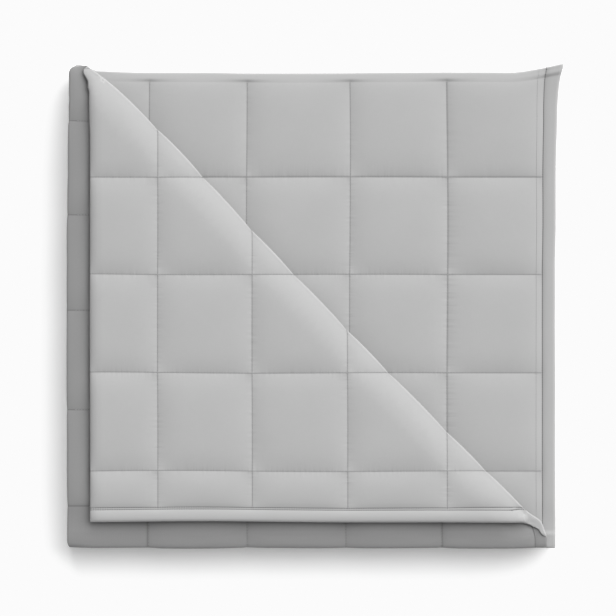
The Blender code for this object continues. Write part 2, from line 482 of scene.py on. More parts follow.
@dataclass
class Stations:
    """Places along one layer of the cloth, from its free edge inwards, close together at the seams."""

    place: Array
    rise: Array  # share of a full square's height
    edge: Array  # 0 on the free edge, 1 from a short way in
    square: Array  # counted in squares, whole on the seams
    hem: Array  # 1 in a hem, past its stitches

    @classmethod
    def folded(cls, place: float, square: Array) -> "Stations":
        """Stations of full cloth in a fold, all at one place."""
        same = np.ones(len(square))
        return cls(place * same, same, same, square, 0 * same)

    @classmethod
    def joined(cls, parts: list["Stations"]) -> "Stations":
        """Some runs of stations, one after another."""
        return cls(*(np.concatenate([getattr(part, item.name) for part in parts]) for item in fields(cls)))

    def turned(self, last: float) -> "Stations":
        """The stations in the other order, their squares counted back from the last."""
        place, rise, edge, square, hem = (getattr(self, item.name)[::-1] for item in fields(self))
        return Stations(place, rise, edge, last - square, hem)

    @classmethod
    def over(
        cls, seams: Floats, end: float, steps: tuple[int, ...], relief: Relief, lines: int = 0
    ) -> "Stations":
        """Lays the stations over a run of seams.

        Args:
            seams: the free edge, then the seams.
            end: where a fold starts.
            steps: how many steps lie in the first piece, in a whole square and in the last piece.
            relief: how the cloth rises from its seams.
            lines: how many lines of stitches sink into the hem; the first is the one by the free edge.

        Returns:
            The stations.
        """
        bounds = [*seams, end]
        hemmed = abs(seams[1] - seams[0]) < relief.widest_hem
        parts = []
        for number, (near, far) in enumerate(zip(bounds, bounds[1:])):
            length = abs(far - near)
            first, last, by_stitches = number == 0, number == len(bounds) - 2, hemmed and number < 2
            count = steps[0] if first else steps[-1] if last else steps[1]
            if not first and not last and length < relief.dome_reach:
                count = steps[1] // 2 + 1
            share = (1 - np.cos(np.linspace(0, math.pi, count + 1))) / 2
            if lines and by_stitches:
                share = relief.beside_stitches(share, length, first)
            if not last:
                share = share[:-1]
            from_near, from_far = share * length, (1 - share) * length
            up, down = relief.rise(from_near), relief.rise(from_far)
            if first:
                square = (share - 1) * length / relief.square + hemmed * 0.5
                height = relief.hem_rise(from_far, lines > 0, lines > 0) if hemmed else down
            elif by_stitches:
                square = (share + 1) * 0.5
                start = relief.hem_rise(np.zeros(1), False, lines > 0)[0]
                sunk = relief.hem_rise(from_near, lines > 1, False) / relief.hem_share
                height = (start + (1 - start) * up) * sunk * down
            elif last:
                square, height = number - 1 + from_near / relief.square, up
            else:
                square, height = number - 1 + share, up * down
            parts.append((near + (far - near) * share, height, square))
        place, rise, square = (np.concatenate(part) for part in zip(*parts))
        from_edge = np.abs(place - seams[0])
        past = np.abs(seams[1] - seams[0]) - from_edge
        hem = ease(past / relief.hem_length) if hemmed else np.zeros(len(place))
        return cls(place, rise, relief.edge(from_edge, hemmed), square, hem)


@dataclass(frozen=True)
class Unevenness:
    """Smooth irregular waves, the same in each run."""

    seed: int
    length: float  # of the shortest waves
    waves: int = 9

    def at(self, across: Array, down: Array) -> Array:
        """Adds up the waves.

        Args:
            across: places across the cloth, in metres.
            down: places down it.

        Returns:
            Their height there, from about -1 to 1.
        """
        draw = np.random.default_rng(self.seed)
        total = np.zeros(np.broadcast(across, down).shape)
        for _ in range(self.waves):
            angle, start = draw.uniform(0, 2 * math.pi, 2)
            turns = 2 * math.pi / (self.length * draw.uniform(1.0, 2.4))
            total = total + np.sin((across * math.cos(angle) + down * math.sin(angle)) * turns + start)
        return total / math.sqrt(self.waves)


@dataclass
class TurnedCorner:
    """The free corner of the top layer, turned back over the diagonal."""

    crest: Table = (  # place along the diagonal, and x + y of the edge there
        (-0.412, 0.0298),
        (-0.400, 0.0322),
        (-0.315, 0.0370),
        (-0.135, 0.0290),
        (0.127, 0.0215),
        (0.301, 0.0208),
        (0.366, 0.0220),
        (0.392, 0.0253),
        (0.409, 0.0155),
    )
    roll_radius: float = 0.0020  # of the middle of the cloth
    roll_half: float = 0.0017  # half its thickness there
    press_share: float = 0.62  # how far the layer below is pressed beside the roll
    press_reach: float = 0.0200
    across: float = 0.0460  # a point (x, y) comes to lie at (across - y, up - x)
    up: float = 0.0335
    slack_length: float = 0.0800  # hidden length over which the cloth is drawn up before the roll
    settle_reach: float = 0.0380  # over which the flap comes to its full height
    press_length: float = 0.0300  # over which it is pressed before the roll
    turn_from: float = 0.0120  # before the roll, its seams start to sink the other way
    turn_length: float = 0.0200
    ends: tuple[float, float] = (-0.4150, 0.4050)  # near these ends the cloth is folded straight over
    end_lengths: tuple[float, float] = (0.0187, 0.0430)
    cuts: Floats = (  # bends, from the start of the roll
        0.0, 0.0011, 0.0021, 0.0031, 0.0042, 0.0053, 0.0063, 0.0090, 0.0130, 0.0190, 0.0270, 0.0380
    )

    @property
    def start(self) -> float:
        """Where the roll starts, from the crest."""
        return -(self.roll_radius + self.roll_half)

    def crest_at(self, along: Array) -> Array:
        """How far out the turned edge lies.

        Args:
            along: places along the diagonal.

        Returns:
            The distances out from the diagonal's middle.
        """
        places, sums = (np.array(part) for part in zip(*self.crest))
        slopes = np.gradient(sums, places)
        along = np.clip(along, places[0], places[-1])
        piece = np.clip(np.searchsorted(places, along, side="right") - 1, 0, len(places) - 2)
        length = places[piece + 1] - places[piece]
        part = (along - places[piece]) / length
        left = part * (1 - part) ** 2 * length * slopes[piece]
        right = part**2 * (1 - part) * length * slopes[piece + 1]
        return (sums[piece] + (sums[piece + 1] - sums[piece]) * ease(part) + left - right) * HALF_TURN

    def inside(self, along: Array) -> Array:
        """1 along the diagonal, and down to 0 towards its ends."""
        (low, high), (low_length, high_length) = self.ends, self.end_lengths
        return ease((along - low) / low_length) * ease((high - along) / high_length)

    def spare(self, along: Array) -> Array:
        """The length of cloth drawn up before the roll.

        Args:
            along: places along the diagonal.

        Returns:
            The lengths there.
        """
        mirror = (self.across + self.up) / 2 * HALF_TURN
        full = 2 * (mirror - self.crest_at(along)) - 2 * self.start - math.pi * self.roll_radius
        return full * self.inside(along)

    def bend_line(self, cut: float, bounds: Array) -> list[tuple[Floats, Floats]]:
        """A bend line across the flat layer, straight between its bounds.

        Args:
            cut: how far past the start of the roll it lies.
            bounds: places along the diagonal.

        Returns:
            A point and a normal for each straight part.
        """
        out = self.crest_at(bounds) + self.start + cut + self.spare(bounds)
        lean = np.diff(out) / np.diff(bounds)
        parts = []
        for place, level, slope in zip(bounds, out, lean):
            y, x = diagonal(level, place)
            parts.append(((x, y, 0.0), (*diagonal(1, slope), 0.0)))
        return parts

    def carry(self, places: Array, pitch: float, relief: Relief, still: Array) -> Array:
        """Carries points of the flat top layer over the roll, and lets its seams sink.

        Args:
            places: points of the layer, with their height measured from its middle.
            pitch: the height that a layer takes.
            relief: how the cloth rises from its seams.
            still: how much the seams sink at each point where the cloth isn't turned.

        Returns:
            The points in their turned places, measured in the same way.
        """
        x, y, height = places.T
        half, side = np.abs(height), np.sign(height)
        along, out = diagonal(x, y)
        crest = self.crest_at(along)
        half_circle = math.pi * self.roll_radius
        inside, spare = self.inside(along), self.spare(along)
        before = out - crest - self.start
        drawn_up = spare * ease((before - spare) / self.slack_length + 1)
        past = np.maximum(before - drawn_up, 0)
        angle = np.clip(past / self.roll_radius, 0, math.pi)
        gone = np.maximum(past - half_circle, 0)
        climb = pitch - 2 * self.roll_radius
        left_over = np.clip(1 - gone / self.settle_reach, 0, 1)
        settled = 1 - left_over**2
        slope = np.where(gone > 0, climb * 2 * left_over / self.settle_reach, 0)
        size = np.hypot(1, slope)
        place = self.start + self.roll_radius * np.sin(angle) - gone
        level = self.roll_radius * (1 - np.cos(angle)) + climb * settled
        rolled = gone <= 0
        normal_out = np.where(rolled, -np.sin(angle), -slope / size)
        normal_up = np.where(rolled, np.cos(angle), -1 / size)
        pressed = ease((before - drawn_up) / self.press_length + 1) * (1 - settled)
        turned = ease((before - drawn_up + self.turn_from) / self.turn_length)
        sink = relief.sink * (1 - relief.fullness(half)) * (turned - (1 - turned) * still)
        height = sink + side * half * (1 + (self.roll_half / relief.crown_half - 1) * pressed)
        moved_out = crest + place + height * normal_out
        moved_along = along + (self.across - self.up) * HALF_TURN * ease(past / (half_circle / 2)) * inside
        (moved_y, moved_x), (flat_y, flat_x) = diagonal(moved_out, moved_along), diagonal(out - drawn_up, along)
        moved = np.stack((moved_x, moved_y, level + height * normal_up), 1)
        flat = np.stack((flat_x, flat_y, height), 1)
        return np.where((past > 0)[:, None], moved, flat)


@dataclass
class FoldedQuilt:
    """The quilted sheet in its folds."""

    left: float = -0.3062
    bottom: float = -0.2993
    top: float = 0.2980
    pitch: float = 0.0095  # the height that a layer takes
    # the free edge and the seams of each run of cloth, from the edge inwards
    upper_across: Floats = (0.2996, 0.2830, 0.2357, 0.1123, -0.0112, -0.1334, -0.2760)
    lower_across: Floats = (0.3068, 0.28945, 0.1720, 0.0498, -0.0800, -0.2022)
    upper_down: Floats = (0.3226, 0.2375, 0.1191, -0.0006, -0.1254, -0.2463)
    lower_down: Floats = (0.2977, 0.2856, 0.1670, 0.0447, -0.0788, -0.2022)
    middle_down: Floats = (-0.2022, -0.0788, 0.0447, 0.1670)
    last_down: Floats = (-0.2965, -0.2840, -0.2022, -0.0788, 0.0447, 0.1670)
    near_strip: Floats = (0.2978, 0.2828, 0.2440, 0.1644, 0.0435, -0.0800, -0.2035)  # over the near fold
    near_strip_from: tuple[float, float] = (-0.2250, -0.2600)  # down the cloth, where the move to these is made
    near_strip_end: float = -0.0300  # x + y from which it fades out
    strip_reach: float = 0.0300
    below_reach: float = 0.1200  # over which they move back in the middle third
    side_shift: float = 0.00025  # from the solid's left side to where the bend ends
    fold_squares: float = 0.12  # length of the left fold in squares
    near_fold_squares: float = 0.3
    near_fold_flat: Table = ((0.17, 1.0), (0.34, 1.0))  # points (out, up) before it bends
    far_fold_squares: tuple[float, float] = (14.4, 0.2)  # where the far fold starts, and its length
    middle_square: int = 10  # numbers given to the squares of the middle third, on from here
    last_square: int = 20  # and of the last third and the lower layer, back from here
    fold_cloth: float = 0.016  # cloth in the left fold, for its threads
    third_cloth: Floats = (1.2, 0.6, 0.0)  # and from the top third to each, the last first
    left_in: Floats = (0.0030, 0.0015, 0.0)  # how far each third is moved at its left side
    right_out: Floats = (-0.0035, -0.0010, 0.0)  # and at its right side
    seam_pinch: float = 0.0010  # how far seams draw the left fold in
    skew_end: float = -0.2700  # the two layers' seams are joined by a skew up to here
    fold_power: float = 6.5  # how square a pressed fold is
    patches: Unevenness = Unevenness(7, 0.16)  # of the filling
    patch_step: float = 3.0  # from third to third
    patch_depth: float = 0.04
    side_waves: Unevenness = Unevenness(11, 0.20)
    side_wave_steps: tuple[float, float] = (0.31, 0.4)  # from third to third, and from left to right
    side_sway: float = 0.0006
    near_waves: Unevenness = Unevenness(5, 0.15)
    near_wave_step: float = 0.2
    near_sway: float = 0.0005
    drawn_edge: Table = (  # place across, and how far the top edge is drawn down there
        (-0.3, 0.0162), (-0.2963, 0.0175), (-0.2923, 0.0166), (-0.2884, 0.016), (-0.2845, 0.0166),
        (-0.2804, 0.0146), (-0.275, 0.0092), (-0.265, 0.0068), (-0.26, 0.006), (-0.255, 0.0044),
        (-0.25, 0.002), (-0.245, -0.0003), (-0.235, -0.0012), (-0.219, -0.001), (-0.18, 0.0),
    )
    left_edge: Table = (  # place down, and how far the left fold is drawn in there
        (-0.268, 0.001), (-0.168, 0.0009), (-0.118, -0.0002), (0.007, 0.0), (0.057, 0.0011),
        (0.107, 0.0011), (0.169, 0.0029), (0.232, 0.0026), (0.257, 0.0044), (0.2575, 0.0044),
        (0.265, 0.0058), (0.269, 0.0059), (0.2725, 0.0055), (0.2763, 0.0046), (0.281, 0.004),
        (0.298, 0.0033),
    )
    right_edge: Table = (  # and how far the lower hem is let out
        (-0.268, 0.0017), (-0.093, 0.0011), (-0.018, 0.0002), (0.057, 0.0001), (0.107, 0.0015),
        (0.182, 0.0024), (0.232, 0.0037), (0.267, 0.0028), (0.298, 0.0018),
    )
    top_edge: Table = (  # place across, and how far the lower layer reaches up there
        (-0.267, 0.0026), (-0.2456, 0.0016), (-0.2142, 0.0008), (-0.12, 0.0007), (-0.0886, 0.0),
        (0.037, -0.0002), (0.1626, 0.0011), (0.2254, 0.0011), (0.2568, 0.0004), (0.2882, 0.0035),
        (0.2982, 0.0043),
    )
    edge_depth: float = 0.0600  # how far in these edges carry the cloth with them
    corner_round: float = 0.0080  # rounding of the corners at the left fold
    corner_share: float = 0.25  # over this share of the last square
    fold_bulge: float = 0.0008  # of the left fold
    square_padding: float = 0.6  # how much of a seam's thinness the folds make up for
    still_reach: float = 0.0200  # beside the folds, over which seams don't sink
    carried_from: float = 0.0060  # above the near side, where cloth starts to turn with the corner
    ear_out: Floats = (0.0090, 0.0075, 0.0030)  # of the lower layer's free corner
    ear_reach: tuple[float, float] = (0.0200, 0.0230)
    droop: float = 0.0018  # of the lower layer's top hem
    droop_reach: float = 0.0150
    slope_from: float = -0.2450  # below this the pack lies lower, under the turned corner's hem
    slope_reach: float = 0.0300
    slope_share: float = 0.27
    slope_gap: float = 0.0005
    flap_from: tuple[float, float] = (5.95, 0.15)  # layers up to where the flap starts, and over what
    hem_from: tuple[float, float] = (-0.2475, 0.0040)  # where the turned hem starts, and the strip that stretches
    hem_droop: tuple[float, float, float] = (-0.2585, 0.0080, 0.0018)  # where it bends down, over what, how far
    hem_out: Table = (  # place across, and how much further the turned hem reaches
        (0.06, 0.0), (0.15, 0.0004), (0.188, 0.0008), (0.208, 0.0011), (0.248, 0.0016), (0.268, 0.0019),
        (0.2757, 0.0021), (0.282, 0.0033), (0.2858, 0.0048), (0.2885, 0.001), (0.292, 0.0),
    )
    fold_padding: float = 0.0006  # how far the near fold stands out
    loose_from: float = 0.2930  # past the upper layer's hem, the lower layer's fold bulges out
    loose_length: float = 0.0022
    loose_bulge: float = 0.0101
    cut_spans: tuple[tuple[float, float, int], ...] = (  # bounds of straight parts: the first, the last, how many
        (-0.425, -0.375, 8), (-0.340, 0.340, 14), (0.360, 0.415, 9),
    )
    cut_reach: float = 0.020  # beside a bend line, where faces may be cut by it
    cut_touch: float = 2e-5  # closer than this, a point counts as on it
    sliver: float = 0.00012  # points closer than this after cutting are merged
    flat_size: tuple[float, float] = (1.22, 1.83)
    relief: Relief = field(default_factory=Relief)
    corner: TurnedCorner = field(default_factory=TurnedCorner)
    flat: dict[Face, Array] = field(default_factory=dict)

    @property
    def near_fold(self) -> float:
        """Where the top and the middle third start to bend into each other."""
        return self.bottom + 2 * self.pitch

    @property
    def far_fold(self) -> float:
        """Where the middle and the bottom third start to bend into each other."""
        return self.top - 2 * self.pitch

    def bend(self, count: int) -> Array:
        """The outline of a pressed fold.

        Args:
            count: how many points it has between its two sides.

        Returns:
            Points (out, up) of an outline of half height 1, from its upper to its lower side.
        """
        angle = np.linspace(math.pi / 2, -math.pi / 2, count + 2)[1:-1]
        out, up, power = np.cos(angle), np.sin(angle), 2 / self.fold_power
        return np.stack((np.abs(out) ** power, np.sign(up) * np.abs(up) ** power), 1)

    def run(self, seams: Floats, end: float, steps: tuple[int, ...], lines: int = 0) -> Stations:
        """The stations over a run of seams, as for Stations.over."""
        return Stations.over(seams, end, steps, self.relief, lines)

    def lay_columns(self) -> None:
        """Sets the stations across the doubled cloth, from the upper hem over the left fold to the lower hem."""
        bend_from = self.left + self.pitch - self.side_shift
        upper = self.run(self.upper_across, bend_from, (10, 20, 10), lines=2)
        lower = self.run(self.lower_across, bend_from, (10, 20, 14), lines=1).turned(self.last_square)
        arc = self.bend(11)
        turn = np.linspace(0, 1, len(arc) + 2)[1:-1]
        fold = Stations.folded(bend_from, upper.square[-1] + turn * self.fold_squares)
        self.across = Stations.joined([upper, fold, lower])
        counts = [len(part.place) for part in (upper, fold, lower)]
        self.layer = np.repeat([layer.value for layer in Layer], counts)
        self.arc = np.vstack(([(0.0, 1.0)] * counts[0], arc, [(0.0, -1.0)] * counts[2]))
        self.is_lower, self.is_fold = (self.layer[None, :] == part.value for part in (Layer.LOWER, Layer.FOLD))
        x = self.across.place
        self.threads = np.where(self.is_lower[0], 2 * self.left - x - self.fold_cloth, x)
        self.threads[self.is_fold[0]] = self.left - self.fold_cloth * np.linspace(0, 1, len(arc))

    def lay_rows(self) -> None:
        """Sets the stations along the folded path, from the top third's free edge to the bottom third's."""
        tops = self.upper_down, self.lower_down
        upper, lower = (self.run(seams, self.near_fold, (14, 20, 12)) for seams in tops)
        near, far = np.vstack((self.near_fold_flat, self.bend(12))), self.bend(9)
        near_turn, far_turn = (np.linspace(0, 1, len(fold) + 2)[1:-1] for fold in (near, far))
        middle = self.run((self.near_fold, *self.middle_down), self.far_fold, (4, 5, 4))
        middle.square += self.middle_square
        last = self.run(self.last_down, self.far_fold, (6, 6, 4)).turned(self.last_square)
        start, length = self.far_fold_squares
        near_bend = Stations.folded(self.near_fold, upper.square[-1] + near_turn * self.near_fold_squares)
        far_bend = Stations.folded(self.far_fold, start + far_turn * length)
        hidden = [near_bend, middle, far_bend, last]
        self.upper, self.lower = (Stations.joined([top, *hidden]) for top in (upper, lower))
        first, second, third = (len(part.place) for part in (upper, middle, last))
        self.third = np.concatenate(([2.0] * first, 2 - near_turn, [1.0] * second, 1 - far_turn, [0.0] * third))
        above, below = [(0.0, 1.0)], [(0.0, -1.0)]
        parts = above * first, near * (-1, 1), below * second, far, below * third
        self.row_out, self.row_up = np.vstack(parts).T
        self.down_edge = np.where(self.third == 1, 1.0, self.upper.edge)
        self.down_hem = np.where(self.third == 2, self.lower.hem, 0.0)

    def half_thickness(self, near: Array) -> Array:
        """Half the thickness of the cloth.

        Args:
            near: how far the seams have moved over, for each row and column.

        Returns:
            Half thicknesses, for each row and column.
        """
        relief, column, rise = self.relief, self.across.place[None, :], self.across.rise[None, :]
        beside = (column - self.upper_across[2]) / self.strip_reach
        rise = rise + (1 - rise) * near * np.exp(-(beside**2)) * ~self.is_lower
        rise = rise + (1 - rise) * self.down_hem[:, None] * self.is_lower
        down_rise = np.where(self.is_lower, self.lower.rise[:, None], self.upper.rise[:, None])
        full = rise * (down_rise + (1 - down_rise) * self.across.hem[None, :])
        y = self.upper.place[:, None] + 0 * column
        patch = self.patches.at(column, y + self.patch_step * self.third[:, None])
        full = full * (1 - self.patch_depth + self.patch_depth * np.clip(patch, -1, 1))
        half = relief.seam_half + (relief.crown_half - relief.seam_half) * full
        return half * self.across.edge[None, :] * self.down_edge[:, None]

    def lay_face(self, face: Face) -> None:
        """Places one face of the sheet in the flat pack, before the corner is turned.

        Args:
            face: the face to place; its points are kept in self.flat.
        """
        pitch, left, column = self.pitch, self.left, self.across.place[None, :]
        near = self.near_strip_share()
        half = self.half_thickness(near)
        strip_x = np.interp(column, [left, *self.upper_across[::-1]], [left, *self.near_strip[::-1]])
        wall = left - self.fold_bulge + self.seam_pinch * (1 - self.upper.rise[:, None])
        if face is Face.OUTER:
            reach = pitch / 2 + half
        else:
            reach, wall = pitch / 2 - half, wall + 2 * half
        x = np.where(self.is_lower, column, column + (strip_x - column) * near)
        x = np.where(self.is_fold, wall + (1 - self.arc[None, :, 0]) * reach, x)
        middle = np.where(self.is_lower, 0.5, 1.5) * pitch
        height = middle + half * face.value * np.where(self.is_lower, -1, 1)
        height = np.where(self.is_fold, pitch + self.arc[None, :, 1] * reach, height)
        self.flat[face] = self.lie(x, height, half)

    def near_strip_share(self) -> Array:
        """How far the upper layer's seams have moved over to their places along the near fold.

        Returns:
            Shares from 0 to 1, for each row and column.
        """
        column, third = self.across.place[None, :], self.third[:, None]
        y = self.upper.place[:, None] + 0 * column
        start, end = self.near_strip_from
        off_corner = 1 - ease((column + y - self.near_strip_end) / self.strip_reach)
        on_top = ease((start - y) / (start - end)) * off_corner
        below = 1 - ease((y - self.near_fold) / self.below_reach)
        return np.where(third >= 2, on_top, np.where(third >= 1, below, 0.0))

    def lie(self, x: Array, height: Array, half: Array) -> Array:
        """Folds the doubled cloth in thirds and makes its edges uneven.

        Args:
            x: places across, for each row and column.
            height: heights over the underside of the doubled cloth.
            half: half thicknesses.

        Returns:
            The points of the flat pack.
        """
        left, pitch, relief = self.left, self.pitch, self.relief
        third, column, is_lower = self.third[:, None], self.across.place[None, :], self.is_lower
        upper_y, lower_y = self.upper.place[:, None] + 0 * column, self.lower.place[:, None]
        share = (x - left) / (self.lower_across[0] - left)
        at_left, at_right = (np.interp(third, (0, 1, 2), moved) for moved in (self.left_in, self.right_out))
        lain_x = x + at_left * (1 - share) + at_right * share
        at_third, leaning = self.side_wave_steps
        lain_x = lain_x + self.side_sway * self.side_waves.at(third * at_third, upper_y + leaning * share)

        skew = 1 - ease((x - left - 2 * relief.crown_half) / (self.skew_end - left - 2 * relief.crown_half))
        up_the_square = np.maximum((upper_y - self.upper_down[1]) / (self.upper_down[0] - self.upper_down[1]), 0)
        inwards = 1 - np.clip((x - left) / self.corner_round, 0, 1)
        rounding = self.corner_round * (1 - np.sqrt(1 - inwards**2))
        at_edge = ease((up_the_square - (1 - self.corner_share)) / self.corner_share)
        drawn = read(self.drawn_edge, x) * up_the_square + rounding * at_edge
        drawn_y = upper_y - np.where(third < 2, 0, drawn)
        y = np.where(is_lower, lower_y + (drawn_y - lower_y) * skew, drawn_y)

        first_bend = third >= 1
        interface = np.where(first_bend, 4, 2) * pitch
        away = np.where(first_bend, height, 2 * pitch - height)
        loose = self.loose_bulge * ease((column - self.loose_from) / self.loose_length) * is_lower
        padding = self.square_padding * (relief.crown_half - half) + self.fold_padding + loose
        padded = away + padding * (third > 1) - self.square_padding * rounding * (third > 1)
        waves = self.near_waves.at(lain_x, self.near_wave_step * third)
        y = y + self.row_out[:, None] * padded + self.near_sway * waves

        on_top = is_lower & (third == 2)
        y = y + read(self.top_edge, x) * ease(1 - (self.lower_down[0] - y) / self.edge_depth) * on_top
        lain_x = lain_x + read(self.left_edge, y) * ease(1 - (x - left) / self.edge_depth)
        at_right = ease(1 - (self.lower_across[0] - x) / self.edge_depth) * is_lower
        lain_x = lain_x + read(self.right_edge, y) * at_right
        return np.stack((lain_x, y, interface + self.row_up[:, None] * away), 2)

    def turn_corner(self, places: Array, still: Array) -> Array:
        """Turns the corner of the top layer.

        Args:
            places: points of the top layer in the flat pack.
            still: how much the seams sink at each.

        Returns:
            The points in their turned places.
        """
        middle, low = 5.5 * self.pitch, self.bottom + self.carried_from
        moved = places.copy()
        moved[:, 2] -= middle
        moved = self.corner.carry(moved, self.pitch, self.relief, still)
        moved[:, 2] += middle
        turned = ease((places[:, 1] - low) / (self.near_fold - low))[:, None]
        return places + (moved - places) * turned

    def sunk(self, places: Array, lower: Array, still: Array) -> Array:
        """How far the layer below the top one sinks, at its seams, beside the turned edge and at its hem.

        Args:
            places: points of the flat pack.
            lower: which of them belong to that layer.
            still: how much the seams sink at each.

        Returns:
            The depths.
        """
        x, y, z = places.T
        half = np.abs(z - 4.5 * self.pitch)
        depth = np.where(lower, self.relief.sink * (1 - self.relief.fullness(half)) * still, 0)
        along, out = diagonal(x, y)
        beside = np.exp(-np.maximum(out - self.corner.crest_at(along), 0) / self.corner.press_reach)
        depth += np.where(lower & (z > 4.5 * self.pitch), half * self.corner.press_share * beside, 0)
        towards_edge = np.clip(1 - (self.lower_down[0] - y) / self.droop_reach, 0, 1)
        return depth + np.where(lower, self.droop * towards_edge**2, 0)

    def settle(self, places: Array) -> Array:
        """Lets seams sink, turns the corner and lifts the ear of the layer below.

        Args:
            places: points of the flat pack.

        Returns:
            The points in their final places, still in the flat pack's frame.
        """
        places = places.astype(float).copy()
        x, y, z = places.T
        pitch = self.pitch
        still = ease((x - self.left - pitch) / self.still_reach) * ease((y - self.near_fold) / self.still_reach)
        upper = (z > 5 * pitch) & (y > self.bottom + self.carried_from)
        lower = (z > 4 * pitch) & (z <= 5 * pitch) & (y > self.near_fold)
        turned = self.turn_corner(places[upper], still[upper])
        sunk = self.sunk(places, lower, still)
        from_right = np.maximum(self.lower_across[0] - x, 0) / self.ear_reach[0]
        from_top = np.maximum(self.lower_down[0] - y, 0) / self.ear_reach[1]
        ear = np.where(lower, np.exp(-from_right - from_top), 0)
        places += ear[:, None] * np.array(self.ear_out)
        z -= sunk
        places[upper] = turned

        layers, over = self.flap_from
        on_flap = np.clip(z / pitch - layers, 0, over) / over
        start, length = self.hem_from
        y -= read(self.hem_out, x) * on_flap * np.clip((start - y) / length, 0, 1)
        start, length, depth = self.hem_droop
        z -= depth * np.clip((start - y) / length, 0, 1) ** 2 * on_flap
        near = np.clip((self.slope_from - y) / self.slope_reach, 0, 1)
        raised = np.maximum(z - 4 * pitch, 0) * (z < 6 * pitch + self.slope_gap)
        z -= raised * self.slope_share * near * (2 - near)
        return places

    def panel(self, face: Face, finish: Material) -> Object:
        """Makes one face of the sheet from a grid.

        Args:
            face: which face it is.
            finish: its material.

        Returns:
            The panel, in the flat pack's frame.
        """
        points = self.flat[face]
        rows, columns = points.shape[:2]
        bpy.ops.mesh.primitive_grid_add(x_subdivisions=columns - 1, y_subdivisions=rows - 1, size=1)
        panel = bpy.context.object
        mesh = panel.data
        mesh.vertices.foreach_set("co", points.reshape(-1))
        corner_of = np.empty(len(mesh.loops), int)
        mesh.loops.foreach_get("vertex_index", corner_of)
        row_of, column_of = corner_of // columns, corner_of % columns
        is_lower = self.is_lower[0][column_of]
        across = self.across.square[column_of]
        if face is Face.OUTER:
            across = np.where(across < 2, 1.5 + (across - 0.5) / 3, across)
        across = np.where(is_lower & self.all_corners(self.down_hem[row_of] > 0), 0.5, across)
        down = np.where(is_lower, self.lower.square[row_of], self.upper.square[row_of])
        down = np.where(self.all_corners(self.across.hem[column_of] > 0), 0.5, down)
        y = np.where(is_lower, self.lower.place[row_of], self.upper.place[row_of])
        third = self.third[row_of]
        threads_down = y * np.where(third == 1, -1, 1) - np.interp(third, (0, 1, 2), self.third_cloth)
        mesh.uv_layers[0].name = "Cloth"
        mesh.uv_layers.new(name="Squares")
        for name, pair in (("Cloth", (self.threads[column_of], threads_down)), ("Squares", (across, down))):
            mesh.uv_layers[name].uv.foreach_set("vector", np.stack(pair, 1).astype(np.float32).reshape(-1))
        mesh.materials.append(finish)
        return panel

    def all_corners(self, marked: Array) -> Array:
        """Which face corners belong to a square face that has a marked corner."""
        return np.repeat(marked.reshape(-1, 4).any(1), 4)

    def build(self, outer: Material, inner: Material, shift: Array) -> Object:
        """Builds the folded sheet.

        Args:
            outer: the material of its outer face.
            inner: the material of its inner face.
            shift: from the flat pack's frame to the part's.

        Returns:
            The finished piece.
        """
        self.lay_columns()
        self.lay_rows()
        for face in Face:
            self.lay_face(face)
        quilt, lining = self.panel(Face.OUTER, outer), self.panel(Face.INNER, inner)
        select_only(quilt, lining)
        bpy.ops.object.join()
        quilt.name = quilt.data.name = "quilt"
        with whole_mesh():
            bpy.ops.mesh.remove_doubles(threshold=2e-6)
            bpy.ops.mesh.normals_make_consistent(inside=False)
        self.cut_bends(quilt.data)
        points = np.empty(len(quilt.data.vertices) * 3)
        quilt.data.vertices.foreach_get("co", points)
        settled = self.settle(points.reshape(-1, 3)) + shift
        quilt.data.vertices.foreach_set("co", settled.reshape(-1))
        quilt.data.update()
        bpy.ops.object.shade_smooth()
        return quilt

    def cut_bends(self, mesh: Mesh) -> None:
        """Cuts bend lines into the top layer where it rolls over.

        Args:
            mesh: the sheet in the flat pack.
        """
        work = bmesh.new()
        work.from_mesh(mesh)
        bounds = np.concatenate([np.linspace(*span) for span in self.cut_spans])
        for cut in self.corner.cuts:
            parts = self.corner.bend_line(cut, bounds)
            near = [[] for _ in parts]
            faces = list(work.faces)
            at = np.array([face.verts[0].co[:] for face in faces])
            part = np.searchsorted(bounds, (at[:, 0] - at[:, 1]) * HALF_TURN) - 1
            points, normals = (np.array(values)[np.clip(part, 0, len(parts) - 1)] for values in zip(*parts))
            close = np.abs(((at - points) * normals).sum(1)) < self.cut_reach
            close &= (at[:, 2] > 5 * self.pitch) & (at[:, 1] > self.bottom + self.carried_from)
            close &= (part >= 0) & (part < len(parts))
            for number in np.flatnonzero(close):
                near[part[number]].append(faces[number])
            for faces, (point, normal) in zip(near, parts):
                edges = {edge for face in faces for edge in face.edges}
                verts = {vert for face in faces for vert in face.verts}
                geometry = faces + list(edges) + list(verts)
                bmesh.ops.bisect_plane(work, geom=geometry, dist=self.cut_touch, plane_co=point, plane_no=normal)
        bmesh.ops.remove_doubles(work, verts=work.verts, dist=self.sliver)
        bmesh.ops.triangulate(work, faces=[face for face in work.faces if len(face.verts) > 4])
        work.to_mesh(mesh)
        work.free()

    def points_on(self, face: Face, rows: Array, columns: Array) -> Array:
        """Finds points of a face in the flat pack.

        Args:
            face: the face.
            rows: row numbers, which needn't be whole.
            columns: column numbers, likewise.

        Returns:
            The points.
        """
        grid = self.flat[face]
        row = np.clip(np.floor(rows).astype(int), 0, grid.shape[0] - 2)
        column = np.clip(np.floor(columns).astype(int), 0, grid.shape[1] - 2)
        down, across = (rows - row)[:, None], (columns - column)[:, None]
        near = grid[row, column] * (1 - across) + grid[row, column + 1] * across
        far = grid[row + 1, column] * (1 - across) + grid[row + 1, column + 1] * across
        return near * (1 - down) + far * down


@dataclass(frozen=True)
class SeamRun:
    """A line of stitches on one face of the quilt."""

    face: Face
    layer: Layer
    across: float | None = None  # the place of a seam that runs down the cloth
    down: float | None = None  # or of one that runs across it
    thick: float = 1.0  # of its thread, to the others'


